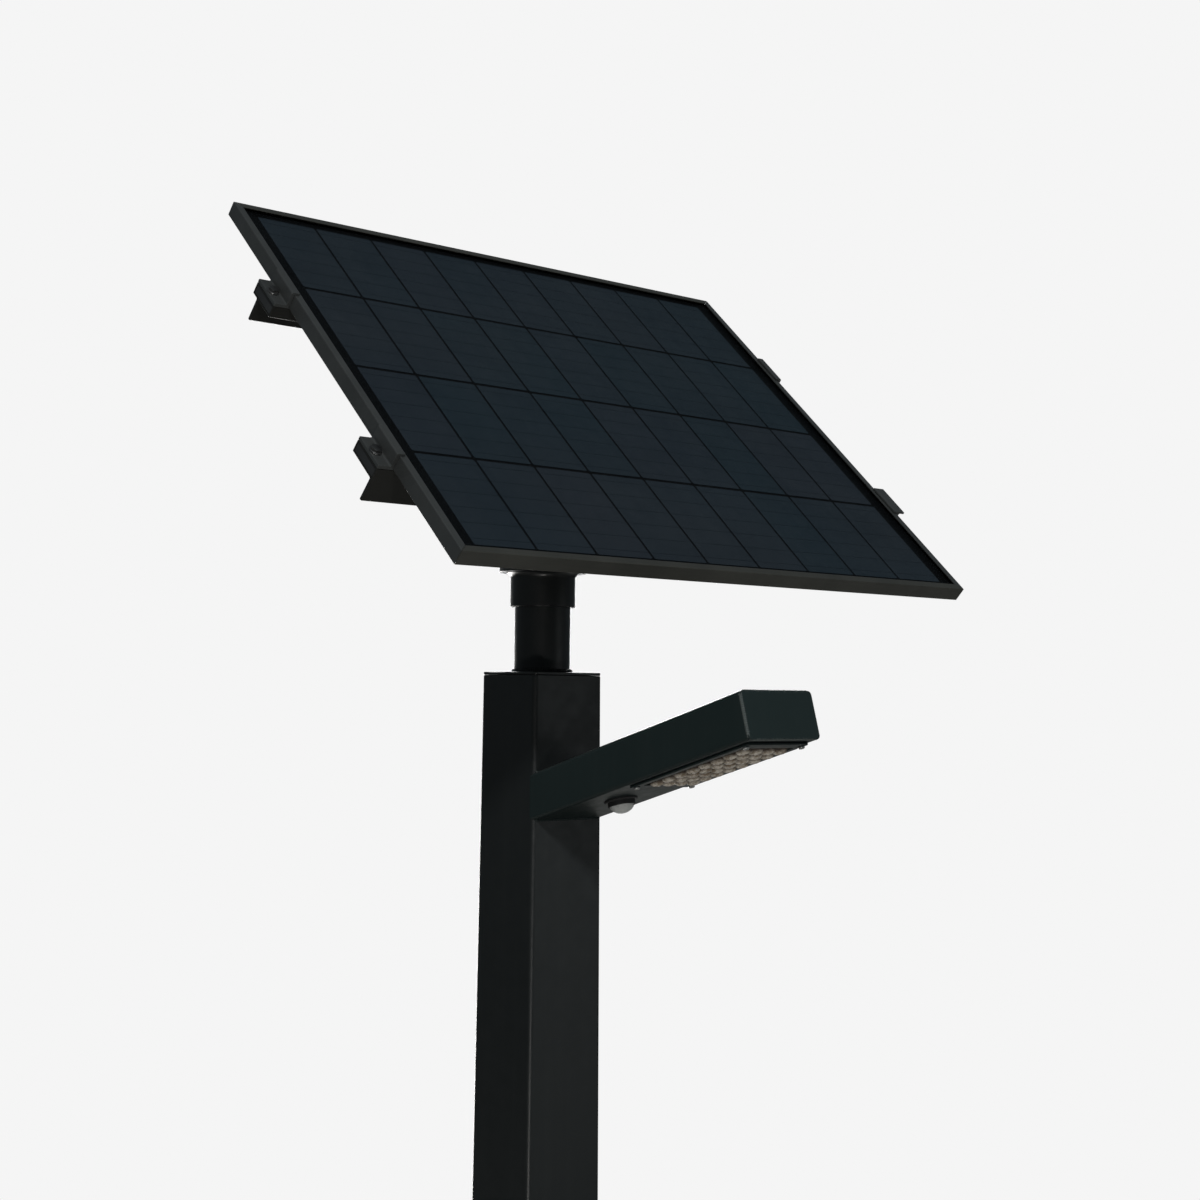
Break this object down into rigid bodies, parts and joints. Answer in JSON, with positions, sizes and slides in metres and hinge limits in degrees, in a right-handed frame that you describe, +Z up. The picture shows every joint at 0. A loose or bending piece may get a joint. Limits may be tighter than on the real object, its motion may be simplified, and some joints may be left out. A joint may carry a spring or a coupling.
{
  "type": "solar street lamp",
  "caption": "Square tapered pole with a rising luminaire arm, a motion sensor, and a solar panel on a swivelling, tilting bracket at the top.",
  "frame": {"origin": "centre of the base plate's underside, on the pole's axis", "axes": "+Z up along the pole, -Y the way the arm and the panel face, +X to the right seen from the front"},
  "size_m": [0.886, 0.6102, 4.5984],
  "materials": {
    "powder_coat": "black fine-texture powder coat",
    "anodised": "satin dark anodised",
    "zinc": "black zinc",
    "stainless": "satin",
    "bare_aluminium": "extruded",
    "panel_glass": "low-iron solar glass",
    "cells": "laminated monocrystalline cells",
    "back_sheet": "matt film",
    "rubber": "matt",
    "board": "white solder mask",
    "lens": "moulded clear lens over warm LEDs",
    "dome": "frosted moulding",
    "black_plastic": "fine moulded grain",
    "battery": "shrink-wrapped",
    "strap": "woven webbing"
  },
  "bodies": {
    "pole": {"base_plate": "powder_coat", "pole_wall_front": "powder_coat", "pole_wall_rear": "powder_coat", "pole_wall_left": "powder_coat", "pole_wall_right": "powder_coat", "pole_cap": "powder_coat", "spigot": "powder_coat", "arm_tube": "powder_coat", "arm_end_cap": "powder_coat", "lens_bezel": "powder_coat", "lens_array": "lens", "led_board": "board", "heat_sink": "bare_aluminium", "bezel_screw_1": "stainless", "bezel_screw_2": "stainless", "bezel_screw_3": "stainless", "bezel_screw_4": "stainless", "led_driver": "black_plastic", "sensor_base": "black_plastic", "sensor_dome": "dome", "hinge_post_upper": "powder_coat", "hinge_post_lower": "powder_coat", "equipment_tray": "zinc", "battery_pack": "battery", "battery_strap": "strap", "charge_controller": "black_plastic"},
    "door": {"service_door": "powder_coat", "door_gasket": "rubber", "door_screw_upper": "stainless", "door_screw_lower": "stainless", "hinge_sleeve_upper": "powder_coat", "hinge_sleeve_lower": "powder_coat"},
    "swivel_head": {"swivel_collar": "powder_coat", "head_plate": "powder_coat", "set_screw": "stainless", "yoke_left": "powder_coat", "yoke_right": "powder_coat"},
    "solar_panel": {"frame_bottom": "anodised", "frame_right": "anodised", "frame_top": "anodised", "frame_left": "anodised", "front_glass": "panel_glass", "cell_sheet": "cells", "back_sheet": "back_sheet", "rail_upper": "anodised", "rail_lower": "anodised", "end_clamp_upper_left": "anodised", "end_clamp_upper_right": "anodised", "end_clamp_lower_left": "anodised", "end_clamp_lower_right": "anodised", "clamp_bolt_upper_left": "zinc", "clamp_bolt_upper_right": "zinc", "clamp_bolt_lower_left": "zinc", "clamp_bolt_lower_right": "zinc", "tilt_bracket_left": "powder_coat", "tilt_bracket_right": "powder_coat", "lock_bolt_left": "zinc", "lock_bolt_right": "zinc", "pivot_bolt": "zinc", "junction_box": "black_plastic"}
  },
  "joints": [
    {"name": "bracket_swivel", "type": "hinge", "parent": "pole", "child": "swivel_head", "pos_m": [0, 0, 4.1], "axis": [0, 0, 1], "range_deg": [-180, 180]},
    {"name": "panel_tilt", "type": "hinge", "parent": "swivel_head", "child": "solar_panel", "pos_m": [0, 0, 4.216], "axis": [1, 0, 0], "range_deg": [-28, 12]},
    {"name": "door_hinge", "type": "hinge", "parent": "pole", "child": "door", "pos_m": [-0.0642, 0.0804, 0.78], "axis": [0, -0.005, 1], "range_deg": [0, 110]}
  ]
}
